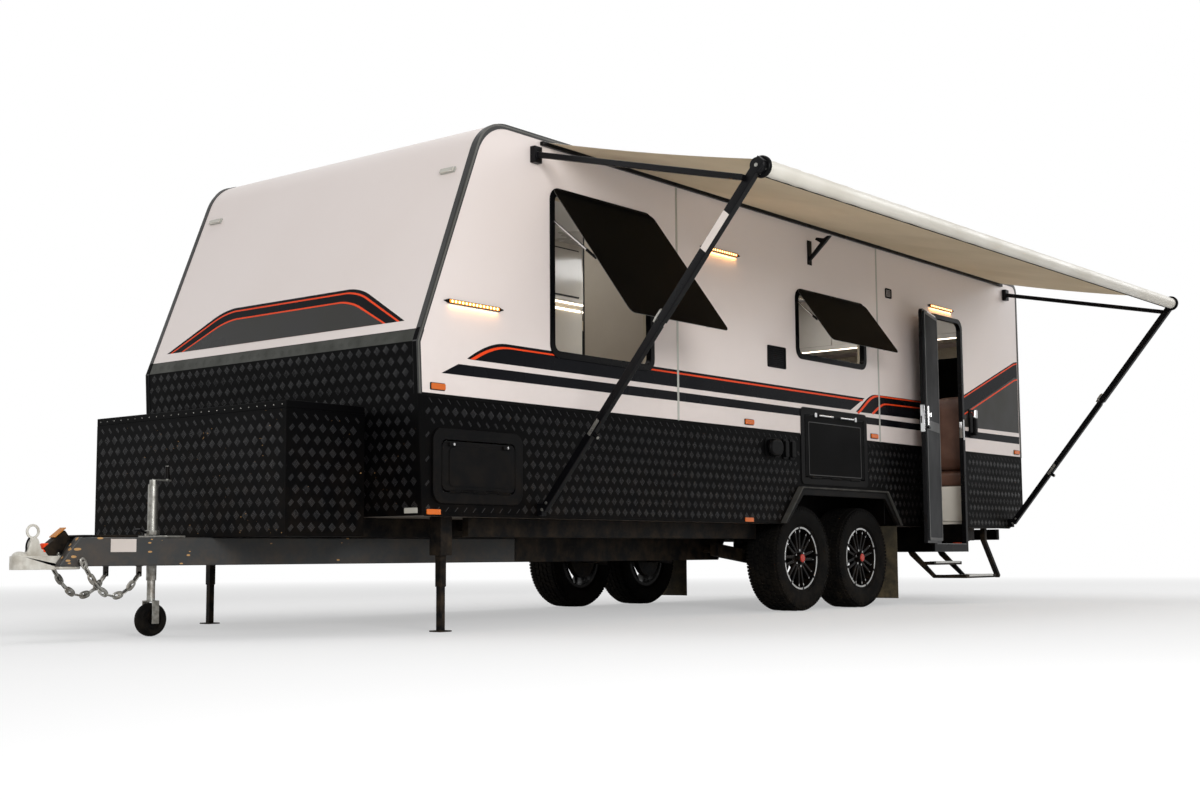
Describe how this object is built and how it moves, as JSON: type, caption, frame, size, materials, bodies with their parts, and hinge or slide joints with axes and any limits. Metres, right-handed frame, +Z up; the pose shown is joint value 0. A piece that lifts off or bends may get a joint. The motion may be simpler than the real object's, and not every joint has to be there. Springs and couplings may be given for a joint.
{
  "type": "travel caravan",
  "caption": "Tandem-axle travel caravan with an A-frame drawbar, front toolbox, open side door, swing-out windows and an extended roll-out awning.",
  "frame": {"origin": "centre of the tow ball in the coupling", "axes": "+X towards the door and awning side, +Y rearwards along the body, +Z up; the ground is 0.40 m below the origin"},
  "size_m": [4.6668, 9.9634, 3.143],
  "materials": {
    "wall_white": "satin composite panel",
    "cladding_black": "black powder-coated tread plate",
    "moulding_grey": "matt",
    "frame_black": "satin black",
    "galvanised": "dull galvanised",
    "zinc": "zinc plated",
    "brake_black": "satin black",
    "tyre_rubber": "matt",
    "rim_black": "gloss black with a machined lip",
    "flap_rubber": "dusty",
    "tinted_glass": "dark tint",
    "mesh_grey": "woven mesh",
    "tread_plate": "worn tread plate",
    "lamp_amber": "gloss",
    "strip_warm": "lit",
    "lamp_red": "gloss",
    "awning_cloth": "coated cloth",
    "cabinet_white": "satin laminate",
    "lounge_brown": "soft",
    "floor_grey": "vinyl",
    "black_plastic": "matt",
    "rail_white": "anodised"
  },
  "bodies": {
    "caravan": {"left_wall_lower": "cladding_black", "left_wall_upper": "wall_white", "right_wall_lower": "cladding_black", "right_wall_upper": "wall_white", "front_wall_lower": "cladding_black", "front_wall_upper": "wall_white", "roof": "wall_white", "rear_wall": "wall_white", "floor": "floor_grey", "wheel_boxes": "black_plastic", "arch_trims": "black_plastic", "edge_trims": "moulding_grey", "chassis_rails": "frame_black", "underframe": "frame_black", "drawbar": "galvanised", "suspension_arms": "frame_black", "stabiliser_legs": "frame_black", "coupling": "zinc", "safety_chains": "zinc", "handbrake": "brake_black", "jockey_stand": "zinc", "toolbox": "cladding_black", "mud_flaps": "flap_rubber", "window_frames": "black_plastic", "window_panes": "tinted_glass", "door_frame": "frame_black", "step_well": "tread_plate", "entry_step": "frame_black", "hatch_frames": "black_plastic", "marker_lamps": "lamp_amber", "light_strips": "strip_warm", "wall_fittings": "black_plastic", "tail_lamps": "lamp_red", "rear_bumper": "frame_black", "awning_rail": "rail_white", "awning_arms": "frame_black", "awning_roller": "rail_white", "awning_fabric": "awning_cloth", "roof_fittings": "wall_white", "cabinets": "cabinet_white", "cushions": "lounge_brown", "spare_cover": "black_plastic", "bed_base": "cabinet_white"},
    "jockey_caster": {"jockey_fork": "zinc"},
    "jockey_roller": {"jockey_wheel": "black_plastic"},
    "toolbox_cover": {"toolbox_lid": "cladding_black"},
    "door_leaf": {"entry_door": "wall_white", "door_screen": "mesh_grey"},
    "left_locker_door": {"left_boot_door": "black_plastic"},
    "right_locker_door": {"right_boot_door": "black_plastic"},
    "table": {"table_leaf": "black_plastic"},
    "left_front_wheel": {"left_front_rim": "rim_black", "left_front_tyre": "tyre_rubber"},
    "left_rear_wheel": {"left_rear_rim": "rim_black", "left_rear_tyre": "tyre_rubber"},
    "right_front_wheel": {"right_front_rim": "rim_black", "right_front_tyre": "tyre_rubber"},
    "right_rear_wheel": {"right_rear_rim": "rim_black", "right_rear_tyre": "tyre_rubber"}
  },
  "joints": [
    {"name": "jockey_swivel", "type": "hinge", "parent": "caravan", "child": "jockey_caster", "pos_m": [0, 0.79, 0.1], "axis": [0, 0, 1], "continuous": true},
    {"name": "jockey_roll", "type": "hinge", "parent": "jockey_caster", "child": "jockey_roller", "pos_m": [0, 0.79, -0.31], "axis": [1, 0, 0], "continuous": true},
    {"name": "toolbox_lid_hinge", "type": "hinge", "parent": "caravan", "child": "toolbox_cover", "pos_m": [0, 1.55, 0.8012], "axis": [-1, 0, 0], "range_deg": [0, 80]},
    {"name": "entry_door_hinge", "type": "hinge", "parent": "caravan", "child": "door_leaf", "pos_m": [1.243, 7.682, 1], "axis": [0, 0, 1], "range_deg": [-5, 165]},
    {"name": "left_locker_hinge", "type": "hinge", "parent": "caravan", "child": "left_locker_door", "pos_m": [1.2394, 2.0705, 0.373], "axis": [0, 1, 0], "range_deg": [0, 110]},
    {"name": "right_locker_hinge", "type": "hinge", "parent": "caravan", "child": "right_locker_door", "pos_m": [-1.2394, 2.0705, 0.373], "axis": [0, -1, 0], "range_deg": [0, 110]},
    {"name": "table_hinge", "type": "hinge", "parent": "caravan", "child": "table", "pos_m": [1.2314, 6.0425, 0.585], "axis": [0, 1, 0], "range_deg": [0, 90]},
    {"name": "left_front_spin", "type": "hinge", "parent": "caravan", "child": "left_front_wheel", "pos_m": [1.052, 5.62, -0.012], "axis": [1, 0, 0], "continuous": true},
    {"name": "left_rear_spin", "type": "hinge", "parent": "caravan", "child": "left_rear_wheel", "pos_m": [1.052, 6.514, -0.012], "axis": [1, 0, 0], "continuous": true},
    {"name": "right_front_spin", "type": "hinge", "parent": "caravan", "child": "right_front_wheel", "pos_m": [-1.052, 5.62, -0.012], "axis": [1, 0, 0], "continuous": true},
    {"name": "right_rear_spin", "type": "hinge", "parent": "caravan", "child": "right_rear_wheel", "pos_m": [-1.052, 6.514, -0.012], "axis": [1, 0, 0], "continuous": true}
  ]
}
